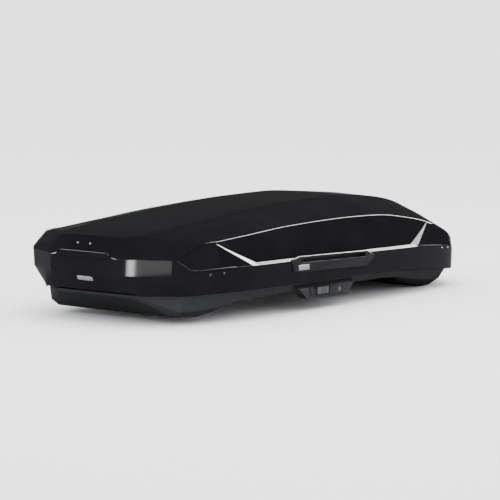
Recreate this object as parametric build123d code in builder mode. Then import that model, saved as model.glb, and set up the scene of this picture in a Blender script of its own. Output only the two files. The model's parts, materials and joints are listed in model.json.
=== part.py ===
"""Roof cargo box, 1.95 m long: a faceted lid over a formed tray, opening from either side.

Frame: +X forward (nose), +Y left, +Z up.  The origin lies on the tray's flat seat, which rests
on the crossbars, at the middle of the box's length and width.  Millimetres.
"""

import os

from build123d import *

# ---- driving dimensions -------------------------------------------------------------------
LID_WALL = 4.0
TRAY_WALL = 4.0
END_SHARE = 1.5            # the shells are this much thicker, lengthwise, at the two ends
SEAT_REAR, SEAT_FRONT = -580.0, 430.0

HINGE_Y, HINGE_Z = 410.0, 46.0      # the two long axes that the lid can turn about
PIN_R = 3.0
PIN_FIT = 0.05                      # radial running clearance round every pin
ARM_STATIONS = (-450.0, 410.0)      # where a crossed pair of lifter arms stands
LATCH_STATIONS = (-360.0, 320.0)    # where a latch pin drops into its saddle
ROD_Y, ROD_THICK = 391.1, 3.0         # the flat bar that carries the hooks

BAR_REAR, BAR_FRONT = -510.0, 200.0  # crossbar centres
BAR_WIDTH, BAR_HEIGHT = 84.0, 33.0   # room between a clamp's jaws, and under the seat
CLAMP_Y = 240.0
CLAMP_SCREW_Z = 30.0
CLAMP_SCREW_R = 4.0
REAR_SLOT = (-573.0, -340.0)
FRONT_SLOT = (37.0, 363.0)
SLOT_WIDTH = 22.0
RAIL_TOP = 6.0

HANDLE_OUTER_Y = 449.0
HANDLE_BACK_Y = 445.8
POCKET_BACK_Y = 420.0

# Lid sections: x, then (half-width, height) at rim, waist, shoulder, brow, ridge, and the
# crown's height on the centre line.
LID_SECTIONS = (
    (-970, (150, 112), (165, 120), (165, 176), (135, 177.5), (110, 178.5), 179),
    (-930, (225, 40), (235, 118), (237, 176), (150, 240), (110, 247), 249),
    (-864, (289, 39), (353, 114), (355, 175), (205, 249), (190, 254), 257),
    (-790, (360, 38), (381, 131), (378, 210), (297, 237), (187, 262), 266),
    (-700, (392, 39), (403, 132), (399, 231), (300, 252), (184, 269), 273),
    (-520, (426, 40), (436, 133), (401, 242), (296, 267), (181, 285), 289),
    (-250, (439, 40), (444, 132), (402, 258), (295, 286), (180, 305), 310),
    (50, (440, 37), (445, 128), (402, 263), (295, 296), (180, 318), 323),
    (300, (440, 32), (444, 124), (401, 257), (293, 293), (179, 320), 325),
    (520, (434, 20), (437, 118), (400, 229), (288, 272), (172, 305), 310),
    (650, (424, 10), (427, 109), (396, 202), (280, 250), (162, 288), 292),
    (790, (402, 0), (405, 95), (378, 159), (256, 213), (140, 256), 260),
    (900, (336, -8), (340, 62), (336, 114), (235, 165), (112, 206), 210),
    (970, (235, -12), (239, 45), (236, 88), (165, 114), (85, 136), 139),
)
# Tray sections: x, then (half-width, height) at rim, bevel and floor.  The tray's rim stands
# 24 mm inside the lid's rim and 2 mm below it, so the lid can swing down past it.
TRAY_SECTIONS = (
    (-906, (200, 38), (196, 33), (188, 29)),
    (-800, (333, 36), (322, -25), (283, -45)),
    (-720, (364, 36), (352, -22), (325, -48)),
    (-640, (382, 37), (372, -16), (345, -34)),
    (SEAT_REAR, (393, 38), (384, -2), (362, 0)),
    (-300, (412, 38), (398, 5), (370, 0)),
    (50, (416, 35), (400, 5), (372, 0)),
    (300, (416, 30), (400, 4), (372, 0)),
    (SEAT_FRONT, (412, 23), (395, 0), (366, 0)),
    (550, (401, 13), (385, -20), (350, -34)),
    (700, (387, 1), (366, -40), (322, -70)),
    (800, (373, -3), (346, -44), (298, -74)),
    (880, (323, -9), (298, -38), (255, -60)),
    (945, (240, -14), (230, -19), (215, -26)),
)
# Recess in each side of the lid: x, (half-width, height) of its top edge and its foot.
PANEL_SECTIONS = (
    (-690, (403, 227), (404, 223)),
    (-517, (405, 239), (421, 137)),
    (-250, (406, 254), (428, 135)),
    (50, (406, 259), (429, 131)),
    (300, (405, 253), (428, 126)),
    (522, (404, 226), (420, 121)),
    (640, (399, 202), (400, 198)),
)
HANDLE_OUTLINE = ((-305, 131), (-258, 144), (171, 132), (227, 107), (168, 69), (-286, 84))
POCKET_OUTLINE = ((-286, 127), (-250, 137), (165, 126), (208, 106), (160, 75), (-272, 89))
GRIP_SLOT = ((-246, 119), (-246, 134), (160, 123), (160, 108))
TAB_OUTLINE = ((-262, 36), (-184, -27), (66, -33), (128, 36))
LOCK_OUTLINE = ((-171, 17), (58, 10), (49, -24), (-161, -18))
SIDE_RIVETS = ((-719, 112), (-657, 113), (720, 90), (776, 86))

os.makedirs("parts", exist_ok=True)


def write(builder, name):
    """Label a finished piece and write it to its own STEP file."""
    builder.part.label = name
    export_step(builder.part, f"parts/{name}.step")


def mirrored(half, crown=()):
    """Close a half outline, given on the +Y side, with its mirror image."""
    return [(y, z) for y, z in half] + list(crown) + [(-y, z) for y, z in reversed(half)]


def hull(sections):
    """Closed solid of flat facets through polygons that stand across X."""
    rings = [[Vector(x, y, z) for y, z in outline] for x, outline in sections]
    faces = [Face(Wire.make_polygon(rings[0])), Face(Wire.make_polygon(rings[-1]))]
    for ring, following in zip(rings, rings[1:]):
        count = len(ring)
        for here in range(count):
            there = (here + 1) % count
            if 2 * here < count - 1:
                halves = (ring[here], ring[there], following[here]), (
                    ring[there], following[there], following[here])
            else:
                halves = (ring[here], ring[there], following[there]), (
                    ring[here], following[there], following[here])
            faces += [Face(Wire.make_polygon(corners)) for corners in halves]
    return Solid(Shell(faces))


def prism_across(outline, y_near, y_far):
    """Extrude an X-Z outline on the right-hand side, between two distances from the middle."""
    with BuildPart() as body:
        with BuildSketch(Plane.XZ.offset(y_near)):
            with BuildLine():
                Polyline(*outline, close=True)
            make_face()
        extrude(amount=y_far - y_near)
    return body.part


def prism_along(outline, x_low, x_high):
    """Extrude a Y-Z outline between two places along the box."""
    with BuildPart() as body:
        with BuildSketch(Plane.YZ.offset(x_low)):
            with BuildLine():
                Polyline(*outline, close=True)
            make_face()
        extrude(amount=x_high - x_low)
    return body.part


def rod(x_low, x_high, y, z, radius):
    """Round bar along X."""
    with BuildPart() as body:
        with BuildSketch(Plane.YZ.offset(x_low)):
            with Locations((y, z)):
                Circle(radius)
        extrude(amount=x_high - x_low)
    return body.part


def grown(outline, amount):
    """Widen an outline about its middle, twice as much along the box as in height."""
    mid_x = sum(x for x, z in outline) / len(outline)
    mid_z = sum(z for x, z in outline) / len(outline)
    half_x = max(x for x, z in outline) - mid_x
    half_z = max(z for x, z in outline) - mid_z
    stretch_x, stretch_z = 1 + 2 * amount / half_x, 1 + amount / half_z
    return [
        (mid_x + stretch_x * (x - mid_x), mid_z + stretch_z * (z - mid_z)) for x, z in outline
    ]


def lid_half_width(x, z):
    """Half the lid's outer width between rim and waist, at a place along the box."""
    for low, high in zip(LID_SECTIONS, LID_SECTIONS[1:]):
        if low[0] <= x <= high[0]:
            share = (x - low[0]) / (high[0] - low[0])
            rim, waist = (
                [a + share * (b - a) for a, b in zip(low[row], high[row])] for row in (1, 2)
            )
            return rim[0] + (waist[0] - rim[0]) * (z - rim[1]) / (waist[1] - rim[1])
    raise ValueError(f"{x} is off the lid")


def lid_solid():
    """The lid's outer form, closed across its rim."""
    sections = []
    for x, rim, waist, shoulder, brow, ridge, crown in LID_SECTIONS:
        sections.append((x, mirrored((rim, waist, shoulder, brow, ridge), [(0, crown)])))
    return hull(sections)


def lid_room(wall, drop):
    """The lid's cavity, which drops past the open rim everywhere but in the rear wall."""
    sections = []
    for row, (x, rim, waist, shoulder, brow, ridge, crown) in enumerate(LID_SECTIONS):
        upper = [
            (waist[0] - wall, waist[1]),
            (shoulder[0] - wall, shoulder[1] - 0.6 * wall),
            (brow[0] - 0.3 * wall, brow[1] - wall),
            (ridge[0] - 0.2 * wall, ridge[1] - wall),
        ]
        x_in = x - END_SHARE * wall * x / 970
        closed_rim = (rim[0] - wall, rim[1] + wall)
        open_rim = (rim[0] - wall, rim[1] - drop)
        if row < 2:
            sections.append((x_in, mirrored([closed_rim] + upper, [(0, crown - wall)])))
        if row > 0:
            x_open = x_in + 2 if row == 1 else x_in
            sections.append((x_open, mirrored([open_rim] + upper, [(0, crown - wall)])))
    return hull(sections)


def tray_solid():
    """The tray's outer form, closed across its rim."""
    return hull([(x, mirrored(half)) for x, *half in TRAY_SECTIONS])


def tray_room(wall, rise):
    """The tray's cavity, which rises past the open rim."""
    sections = []
    for x, rim, bevel, floor in TRAY_SECTIONS:
        half = [
            (rim[0] - wall, rim[1] + rise),
            (bevel[0] - wall, bevel[1] + 0.5 * wall),
            (floor[0] - 0.6 * wall, floor[1] + wall),
        ]
        sections.append((x - END_SHARE * wall * x / 970, mirrored(half)))
    return hull(sections)


def panel_recess(wall=0.0):
    """Sloping recess in the right-hand side; with a wall, the room it takes from the cavity."""
    sections = []
    for x, top, foot in PANEL_SECTIONS:
        reach = 0.0
        if x == PANEL_SECTIONS[0][0]:
            reach = -2 * wall
        elif x == PANEL_SECTIONS[-1][0]:
            reach = 2 * wall
        outline = [
            (-(top[0] - wall), top[1] + 0.2 * wall),
            (-(foot[0] - wall), foot[1] - wall),
            (-520, foot[1] - wall - 5),
            (-520, top[1] + 0.2 * wall),
        ]
        sections.append((x + reach, outline))
    return hull(sections)


# ---- lid ----------------------------------------------------------------------------------
lid_form = lid_solid()
lid_cavity = lid_room(LID_WALL, drop=15)
recess = panel_recess()
recess_room = panel_recess(LID_WALL)
pocket = prism_across(POCKET_OUTLINE, POCKET_BACK_Y, 520)
pocket_room = prism_across(grown(POCKET_OUTLINE, LID_WALL), POCKET_BACK_Y - LID_WALL, 520)
rear_lip = prism_along(((-145, 171), (-112, 198), (112, 198), (145, 171)), -975, -948)

with BuildPart() as cavity:
    add(lid_cavity)
    for room in (recess_room, pocket_room):
        add(room, mode=Mode.SUBTRACT)
        mirror(room, about=Plane.XZ, mode=Mode.SUBTRACT)

with BuildPart() as lid_shell:
    add(lid_form)
    add(rear_lip)
    for cut in (recess, pocket):
        add(cut, mode=Mode.SUBTRACT)
        mirror(cut, about=Plane.XZ, mode=Mode.SUBTRACT)
    add(cavity.part, mode=Mode.SUBTRACT)
    for x, z in SIDE_RIVETS:
        with Locations(Location((x, 0, z), (90, 0, 0))):
            Cylinder(2.6, 1000, mode=Mode.SUBTRACT)
write(lid_shell, "lid_shell")

with BuildPart() as lid_rivets:
    for x, z in SIDE_RIVETS:
        face_y = lid_half_width(x, z)
        for side in (-1, 1):
            with Locations(Location((x, side * (face_y - 3), z), (-90 * side, 0, 0))):
                Cylinder(2.5, 12)
            with Locations(Location((x, side * (face_y + 3.4), z), (-90 * side, 0, 0))):
                Cone(5.5, 3.0, 2.8)
write(lid_rivets, "lid_rivets")

# ---- handles and badges ---------------------------------------------------------------------
with BuildPart() as handle_right:
    add(prism_across(HANDLE_OUTLINE, HANDLE_BACK_Y, HANDLE_OUTER_Y))
    add(prism_across(grown(POCKET_OUTLINE, -2.0), POCKET_BACK_Y + 0.3, HANDLE_BACK_Y))
    add(
        prism_across(grown(POCKET_OUTLINE, -5.0), POCKET_BACK_Y - 5, HANDLE_BACK_Y),
        mode=Mode.SUBTRACT,
    )
    for x, z in ((-256, 110), (172, 100)):
        with Locations(Location((x, -(POCKET_BACK_Y + 13), z), (90, 0, 0))):
            Cylinder(7, 25.4)
            Cylinder(2.05, 25.4, mode=Mode.SUBTRACT)
    add(prism_across(GRIP_SLOT, POCKET_BACK_Y, 520), mode=Mode.SUBTRACT)
write(handle_right, "handle_right")
with BuildPart() as handle_left:
    mirror(handle_right.part, about=Plane.XZ)
write(handle_left, "handle_left")

badge_outline = ((-262, 91), (-264, 110), (-200, 109), (-198, 90))
with BuildPart() as badge_right:
    add(prism_across(badge_outline, HANDLE_OUTER_Y, HANDLE_OUTER_Y + 1.5))
write(badge_right, "badge_right")
with BuildPart() as badge_left:
    mirror(badge_right.part, about=Plane.XZ)
write(badge_left, "badge_left")

rear_face = Plane(origin=(-960.8, 0, 94), x_dir=(0, 1, 0), z_dir=(-0.874, 0, -0.486))
with BuildPart() as badge_rear:
    with BuildSketch(rear_face.offset(0.4)):
        RectangleRounded(76, 17, 4)
    extrude(amount=2.0)
write(badge_rear, "badge_rear")

# ---- tray -----------------------------------------------------------------------------------
tray_form = tray_solid()
tray_cavity = tray_room(TRAY_WALL, rise=15)
lock_tab = prism_along(((-397, -40), (-397, 31), (-404, 31), (-430, 12), (-430, -40)), -270, 140)
tab_sides = prism_across(TAB_OUTLINE, 380, 440)
lock_pocket = prism_across(grown(LOCK_OUTLINE, 0.3), 413.7, 450)
stem_slot = prism_across(((-152, 8.5), (-152, 16.5), (-104, 16.5), (-104, 8.5)), 385, 420)

with BuildPart() as tab:
    add(lock_tab)
    add(tab_sides, mode=Mode.INTERSECT)
    add(lock_pocket, mode=Mode.SUBTRACT)

with BuildPart() as base_shell:
    add(tray_form)
    add(tab.part)
    mirror(tab.part, about=Plane.XZ)
    add(tray_cavity, mode=Mode.SUBTRACT)
    for cut in (stem_slot, lock_pocket):
        add(cut, mode=Mode.SUBTRACT)
        mirror(cut, about=Plane.XZ, mode=Mode.SUBTRACT)
    for low, high in (REAR_SLOT, FRONT_SLOT):
        for side in (-1, 1):
            with Locations(((low + high) / 2, side * CLAMP_Y, 0)):
                Box(high - low, SLOT_WIDTH, 40, mode=Mode.SUBTRACT)
write(base_shell, "base_shell")

for name, side in (("left", 1), ("right", -1)):
    with BuildPart() as floor_rail:
        with BuildSketch(Plane.XY.offset(TRAY_WALL)):
            with Locations(((SEAT_REAR + SEAT_FRONT) / 2, side * CLAMP_Y)):
                Rectangle(SEAT_FRONT - SEAT_REAR - 6, 80)
            for low, high in (REAR_SLOT, FRONT_SLOT):
                with Locations(((low + high) / 2, side * CLAMP_Y)):
                    Rectangle(high - low, SLOT_WIDTH, mode=Mode.SUBTRACT)
        extrude(amount=RAIL_TOP - TRAY_WALL)
    write(floor_rail, f"floor_rail_{name}")

# ---- latch saddles, pins and hooks ------------------------------------------------------------
saddle_outline = (
    (-346, 4.3), (-346, 7.3), (-364, 7.3), (-374, 14), (-374, 48), (-417.5, 48),
    (-417.5, 39.5), (-389, 39.5), (-389, 12), (-378, 9.2), (-357, 4.3),
)
arm_ear_outline = (
    (-346, 4.3), (-346, 7.3), (-364, 7.3), (-374, 14), (-374, 54), (-410, 54), (-417, 49),
    (-417, 42), (-413, 39.6), (-388, 39.6), (-388, 13), (-377, 10), (-355, 4.3),
)
hook_outline = (
    (-385.4, 11), (-385.4, 54), (-415, 54), (-415, 50.2), (-389.6, 50.2), (-389.6, 11),
)


def lid_ear_outline(x):
    """A plate from the lid's side wall down to the hinge line, on the right-hand side."""
    low_y, high_y = (lid_half_width(x, z) - LID_WALL - 0.3 for z in (62, 90))
    return (
        (-405, 48), (-405, 58), (-418, 84), (-high_y, 90), (-low_y, 62), (-418, 48),
    )


with BuildPart() as saddles_right:
    for x in LATCH_STATIONS:
        add(prism_along(saddle_outline, x - 10, x + 10))
        add(rod(x - 11, x + 11, -HINGE_Y, HINGE_Z, PIN_R + 0.35), mode=Mode.SUBTRACT)
        with Locations((x, -HINGE_Y, HINGE_Z + 5)):
            Box(22, 2 * (PIN_R + 0.35), 10, mode=Mode.SUBTRACT)
write(saddles_right, "latch_saddles_right")
with BuildPart() as saddles_left:
    mirror(saddles_right.part, about=Plane.XZ)
write(saddles_left, "latch_saddles_left")

with BuildPart() as latch_brackets_right:
    for x in LATCH_STATIONS:
        for low in (x - 14.5, x + 11.5):
            add(prism_along(lid_ear_outline(x), low, low + 3))
            add(rod(low, low + 3, -HINGE_Y, HINGE_Z, 6))
        low_y, high_y = (lid_half_width(x, z) - LID_WALL - 0.6 for z in (62, 92))
        plate = ((-low_y, 62), (-high_y, 92), (3 - high_y, 92), (3 - low_y, 62))
        add(prism_along(plate, x - 24, x + 24))
        add(rod(x - 20, x + 20, -HINGE_Y, HINGE_Z, PIN_R), mode=Mode.SUBTRACT)
write(latch_brackets_right, "latch_brackets_right")
with BuildPart() as latch_brackets_left:
    mirror(latch_brackets_right.part, about=Plane.XZ)
write(latch_brackets_left, "latch_brackets_left")

for name, side in (("left", 1), ("right", -1)):
    with BuildPart() as latch_pins:
        for x in LATCH_STATIONS:
            add(rod(x - 15.5, x + 37, side * HINGE_Y, HINGE_Z, PIN_R))
    write(latch_pins, f"latch_pins_{name}")

rod_low, rod_high = LATCH_STATIONS[0] + 36, LATCH_STATIONS[1] + 56
for name, side in (("left", 1), ("right", -1)):
    with BuildPart() as latch_rod:
        with Locations(((rod_low + rod_high) / 2, side * ROD_Y, 18)):
            Box(rod_high - rod_low, ROD_THICK, 12)
    write(latch_rod, f"latch_rod_{name}")

with BuildPart() as hooks_right:
    for x in LATCH_STATIONS:
        add(prism_along(hook_outline, x + 40.5, x + 53))
write(hooks_right, "latch_hooks_right")
with BuildPart() as hooks_left:
    mirror(hooks_right.part, about=Plane.XZ)
write(hooks_left, "latch_hooks_left")

# ---- lock unit: housing, slide lever and key cylinder -------------------------------------------
lever_window = prism_across(((-146, -16), (-148, 14.5), (-46, 12), (-46, -18)), 424, 450)
lever_track = prism_across(((-146, 9), (-146, 14.4), (-106, 14.4), (-106, 9)), 400, 450)
key_x, key_z = 12.0, -6.5
with BuildPart() as lock_housing_right:
    add(prism_across(LOCK_OUTLINE, 414, 433))
    add(lever_window, mode=Mode.SUBTRACT)
    add(lever_track, mode=Mode.SUBTRACT)
    with Locations(Location((key_x, -420, key_z), (90, 0, 0))):
        Cylinder(9 + PIN_FIT, 60, mode=Mode.SUBTRACT)
write(lock_housing_right, "lock_housing_right")
with BuildPart() as lock_housing_left:
    mirror(lock_housing_right.part, about=Plane.XZ)
write(lock_housing_left, "lock_housing_left")

with BuildPart() as lever_right:
    add(prism_across(((-120, -14), (-121, 12), (-52, 10.5), (-52, -15)), 424.5, 431))
    for step in range(4):
        x = -101 + 10 * step
        add(prism_across(((x, -9), (x, 6), (x + 4, 6), (x + 4, -9)), 431, 433.5))
    add(prism_across(((-120, 9.6), (-120, 13.8), (-112, 13.8), (-112, 9.6)), 400, 426))
    add(prism_across(((-120, 9.6), (-120, 15), (-112, 15), (-112, 9.6)), ROD_Y + 1.5, 412))
write(lever_right, "slide_lever_right")
with BuildPart() as lever_left:
    mirror(lever_right.part, about=Plane.XZ)
write(lever_left, "slide_lever_left")

with BuildPart() as key_right:
    with Locations(Location((key_x, -424, key_z), (90, 0, 0))):
        Cylinder(9, 19.5)
    with Locations((key_x, -433, key_z)):
        Box(1.4, 8, 8, mode=Mode.SUBTRACT)
write(key_right, "key_cylinder_right")
with BuildPart() as key_left:
    mirror(key_right.part, about=Plane.XZ)
write(key_left, "key_cylinder_left")

# ---- crossed lifter arms ------------------------------------------------------------------------
arm_outline = (
    (-410, 40), (-416, 46), (-410, 52), (-404, 58), (-380, 80), (380, 80), (404, 58), (410, 52),
    (416, 46), (410, 40), (402, 44), (372, 66), (-372, 66), (-402, 44),
)
for place, x in (("rear", ARM_STATIONS[0]), ("front", ARM_STATIONS[1])):
    for letter, low in (("a", x - 7), ("b", x + 2)):
        with BuildPart() as arm:
            add(prism_along(arm_outline, low, low + 5))
            for y in (-HINGE_Y, HINGE_Y):
                add(rod(low, low + 5, y, HINGE_Z, 6.2))
            for y in (-HINGE_Y, HINGE_Y):
                add(rod(low - 1, low + 6, y, HINGE_Z, PIN_R + PIN_FIT), mode=Mode.SUBTRACT)
        write(arm, f"lifter_arm_{place}_{letter}")

with BuildPart() as arm_brackets_base:
    for x in ARM_STATIONS:
        for low, flip in ((x - 11, -1), (x + 7.5, 1)):
            outline = [(flip * y, z) for y, z in arm_ear_outline]
            add(prism_along(outline, low, low + 3.5))
            add(rod(low - 1, low + 5, -flip * HINGE_Y, HINGE_Z, PIN_R), mode=Mode.SUBTRACT)
write(arm_brackets_base, "arm_brackets_base")

with BuildPart() as arm_brackets_lid:
    for x in ARM_STATIONS:
        for low, flip in ((x - 11, 1), (x + 7.5, -1)):
            outline = [(flip * y, z) for y, z in lid_ear_outline(low)]
            add(prism_along(outline, low, low + 3.5))
            add(rod(low, low + 3.5, -flip * HINGE_Y, HINGE_Z, 6))
            add(rod(low - 1, low + 5, -flip * HINGE_Y, HINGE_Z, PIN_R), mode=Mode.SUBTRACT)
write(arm_brackets_lid, "arm_brackets_lid")

with BuildPart() as arm_pins_base:
    for x in ARM_STATIONS:
        add(rod(x - 12.5, x - 1, HINGE_Y, HINGE_Z, PIN_R))
        add(rod(x + 1, x + 12.5, -HINGE_Y, HINGE_Z, PIN_R))
write(arm_pins_base, "arm_pins_base")
with BuildPart() as arm_pins_lid:
    for x in ARM_STATIONS:
        add(rod(x - 12.5, x - 1, -HINGE_Y, HINGE_Z, PIN_R))
        add(rod(x + 1, x + 12.5, HINGE_Y, HINGE_Z, PIN_R))
write(arm_pins_lid, "arm_pins_lid")

# ---- bar clamps -----------------------------------------------------------------------------------
HOUSING = (150.0, 56.0, 40.0)
JAW_X = BAR_WIDTH / 2
CLAMPS = (
    ("rear_left", BAR_REAR, CLAMP_Y), ("rear_right", BAR_REAR, -CLAMP_Y),
    ("front_left", BAR_FRONT, CLAMP_Y), ("front_right", BAR_FRONT, -CLAMP_Y),
)
for name, bar_x, y in CLAMPS:
    floor = RAIL_TOP + 0.2
    middle = floor + HOUSING[2] / 2
    with BuildPart() as housing:
        with Locations((bar_x, y, middle)):
            Box(*HOUSING)
        chamfer(housing.faces().sort_by(Axis.Z)[-1].edges(), 6)
        with Locations((bar_x, y, middle - 2)):
            Box(HOUSING[0] - 8, HOUSING[1] - 7, HOUSING[2] - 3.9, mode=Mode.SUBTRACT)
        bearing = rod(bar_x - 90, bar_x + 90, y, CLAMP_SCREW_Z, CLAMP_SCREW_R + PIN_FIT)
        add(bearing, mode=Mode.SUBTRACT)
    write(housing, f"clamp_housing_{name}")

    with BuildPart() as screw:
        add(rod(bar_x - 76, bar_x + 80, y, CLAMP_SCREW_Z, CLAMP_SCREW_R))
        add(rod(bar_x - 79, bar_x - 75.5, y, CLAMP_SCREW_Z, 8))
    write(screw, f"clamp_screw_{name}")

    with BuildPart() as knob:
        with BuildSketch(Plane.YZ.offset(bar_x + 75.6)):
            with Locations((y, CLAMP_SCREW_Z)):
                Circle(21)
            with Locations((y, CLAMP_SCREW_Z)):
                with PolarLocations(23, 8):
                    Circle(4.5, mode=Mode.SUBTRACT)
        extrude(amount=22)
        chamfer(knob.faces().sort_by(Axis.X)[-1].edges(), 1.5)
        add(
            rod(bar_x + 70, bar_x + 80, y, CLAMP_SCREW_Z, CLAMP_SCREW_R),
            mode=Mode.SUBTRACT,
        )
    write(knob, f"clamp_knob_{name}")

    for end, way in (("front_jaw", 1), ("rear_jaw", -1)):
        blade = bar_x + way * (JAW_X + 4)
        with BuildPart() as jaw:
            with Locations((blade, y, 24)):
                Box(18, 46, 30)
            with Locations((blade, y, -13)):
                Box(8, 18, 54)
            with Locations((blade - way * 5, y, -BAR_HEIGHT - 5)):
                Box(18, 34, 6)
            add(
                rod(blade - 20, blade + 20, y, CLAMP_SCREW_Z, CLAMP_SCREW_R + PIN_FIT),
                mode=Mode.SUBTRACT,
            )
        write(jaw, f"{end}_{name}")

# ---- fasteners --------------------------------------------------------------------------------------
with BuildPart() as handle_screws:
    for side in (-1, 1):
        for x, z in ((-256, 110), (172, 100)):
            with Locations(Location((x, side * (POCKET_BACK_Y + 6), z), (90, 0, 0))):
                Cylinder(2.0, 12)
write(handle_screws, "handle_screws")
with BuildPart() as tray_screws:
    for side in (-1, 1):
        for x in LATCH_STATIONS:
            with Locations((x, side * 355, 8.8)):
                Cylinder(4.2, 2.8)
        for low in (SEAT_REAR + 4, -320, 0, SEAT_FRONT - 10):
            for offset in (-33, 33):
                with Locations((low + 3, side * (CLAMP_Y + offset), RAIL_TOP + 1.2)):
                    Cylinder(4.0, 2.4)
write(tray_screws, "tray_screws")
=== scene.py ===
"""Roof cargo box: shells, fittings, finishes and studio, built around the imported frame.

Frame: +X forward (nose), +Y left, +Z up, in metres.  Tables of sections are in millimetres.
"""

import json
import logging
import math
from bisect import bisect_right
from dataclasses import dataclass, field
from enum import Enum
from typing import Callable, Iterable, Sequence, Union

import bmesh
import bpy
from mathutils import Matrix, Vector

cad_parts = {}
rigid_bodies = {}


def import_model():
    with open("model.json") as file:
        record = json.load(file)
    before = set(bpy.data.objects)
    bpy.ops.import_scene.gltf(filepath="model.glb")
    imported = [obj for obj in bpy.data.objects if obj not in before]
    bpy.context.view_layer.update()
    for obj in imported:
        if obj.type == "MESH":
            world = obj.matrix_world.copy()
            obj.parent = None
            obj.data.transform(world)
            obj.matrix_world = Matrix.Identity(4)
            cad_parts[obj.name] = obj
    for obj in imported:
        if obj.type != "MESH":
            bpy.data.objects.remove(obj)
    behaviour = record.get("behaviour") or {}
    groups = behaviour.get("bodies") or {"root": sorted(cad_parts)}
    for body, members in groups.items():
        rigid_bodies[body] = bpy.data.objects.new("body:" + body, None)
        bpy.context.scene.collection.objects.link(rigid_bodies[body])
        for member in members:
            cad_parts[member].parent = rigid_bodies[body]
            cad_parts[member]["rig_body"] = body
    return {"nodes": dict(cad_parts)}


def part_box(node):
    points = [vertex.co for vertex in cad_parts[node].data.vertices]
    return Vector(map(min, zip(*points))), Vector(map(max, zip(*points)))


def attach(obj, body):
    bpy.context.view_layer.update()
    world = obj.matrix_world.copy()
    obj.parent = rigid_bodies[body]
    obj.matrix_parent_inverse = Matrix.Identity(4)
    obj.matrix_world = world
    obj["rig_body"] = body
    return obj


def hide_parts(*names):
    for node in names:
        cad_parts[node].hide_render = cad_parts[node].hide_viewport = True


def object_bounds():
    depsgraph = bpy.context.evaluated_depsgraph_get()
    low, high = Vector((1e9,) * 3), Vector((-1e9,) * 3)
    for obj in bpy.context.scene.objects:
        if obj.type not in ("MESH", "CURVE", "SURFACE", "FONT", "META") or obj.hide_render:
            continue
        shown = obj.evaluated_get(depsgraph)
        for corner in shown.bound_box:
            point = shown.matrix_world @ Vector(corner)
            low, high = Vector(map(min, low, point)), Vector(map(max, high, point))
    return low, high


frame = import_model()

LOG = logging.getLogger("roof_box")
MM = 0.001
WELD = 2e-6                 # corners closer than this are one corner
CAD_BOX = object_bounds()
Colour = tuple[float, float, float]
Point = tuple[float, float]
Placing = Callable[[float, float, float], Vector]
Operand = Union["Signal", float]


# ---- node writing -------------------------------------------------------------------------


class Signal:
    """A node's output that takes part in arithmetic; each operator adds one Math node."""

    def __init__(self, wiring: "Wiring", socket: bpy.types.NodeSocket) -> None:
        """Keep the socket and the tree that it belongs to."""
        self.wiring = wiring
        self.socket = socket

    def maths(self, operation: str, *operands: Operand) -> "Signal":
        """Add a Math node that works on the operands."""
        sockets = dict(enumerate(operands))
        return self.wiring.node("ShaderNodeMath", {"operation": operation}, sockets)

    def __add__(self, other: Operand) -> "Signal":
        """Add a value on the right."""
        return self.maths("ADD", self, other)

    def __radd__(self, other: Operand) -> "Signal":
        """Add a value on the left."""
        return self.maths("ADD", other, self)

    def __sub__(self, other: Operand) -> "Signal":
        """Take a value away."""
        return self.maths("SUBTRACT", self, other)

    def __rsub__(self, other: Operand) -> "Signal":
        """Take this away from a value."""
        return self.maths("SUBTRACT", other, self)

    def __mul__(self, other: Operand) -> "Signal":
        """Multiply by a value on the right."""
        return self.maths("MULTIPLY", self, other)

    def __rmul__(self, other: Operand) -> "Signal":
        """Multiply by a value on the left."""
        return self.maths("MULTIPLY", other, self)

    def __pow__(self, other: Operand) -> "Signal":
        """Raise to a power."""
        return self.maths("POWER", self, other)


class Wiring:
    """A node tree of any kind in the making."""

    def __init__(self, tree: bpy.types.NodeTree) -> None:
        """Start with the tree empty."""
        self.tree = tree
        self.tree.nodes.clear()

    def feed(self, socket: bpy.types.NodeSocket, value: object) -> None:
        """Link a signal to a socket, or set the socket to a constant."""
        if isinstance(value, Signal):
            self.tree.links.new(value.socket, socket)
        else:
            socket.default_value = value

    def node(
        self,
        kind: str,
        settings: dict[str, object] | None = None,
        sockets: dict[str | int, object] | None = None,
        output: str | int = 0,
    ) -> Signal:
        """Add a node of any type.

        Args:
            kind: the node's Blender type.
            settings: its properties, set first.
            sockets: constants or signals for its inputs.
            output: which output to hand on.

        Returns:
            The signal of that output.
        """
        node = self.tree.nodes.new(kind)
        for name, value in (settings or {}).items():
            setattr(node, name, value)
        for key, value in (sockets or {}).items():
            self.feed(node.inputs[key], value)
        return Signal(self, node.outputs[output])


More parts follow.
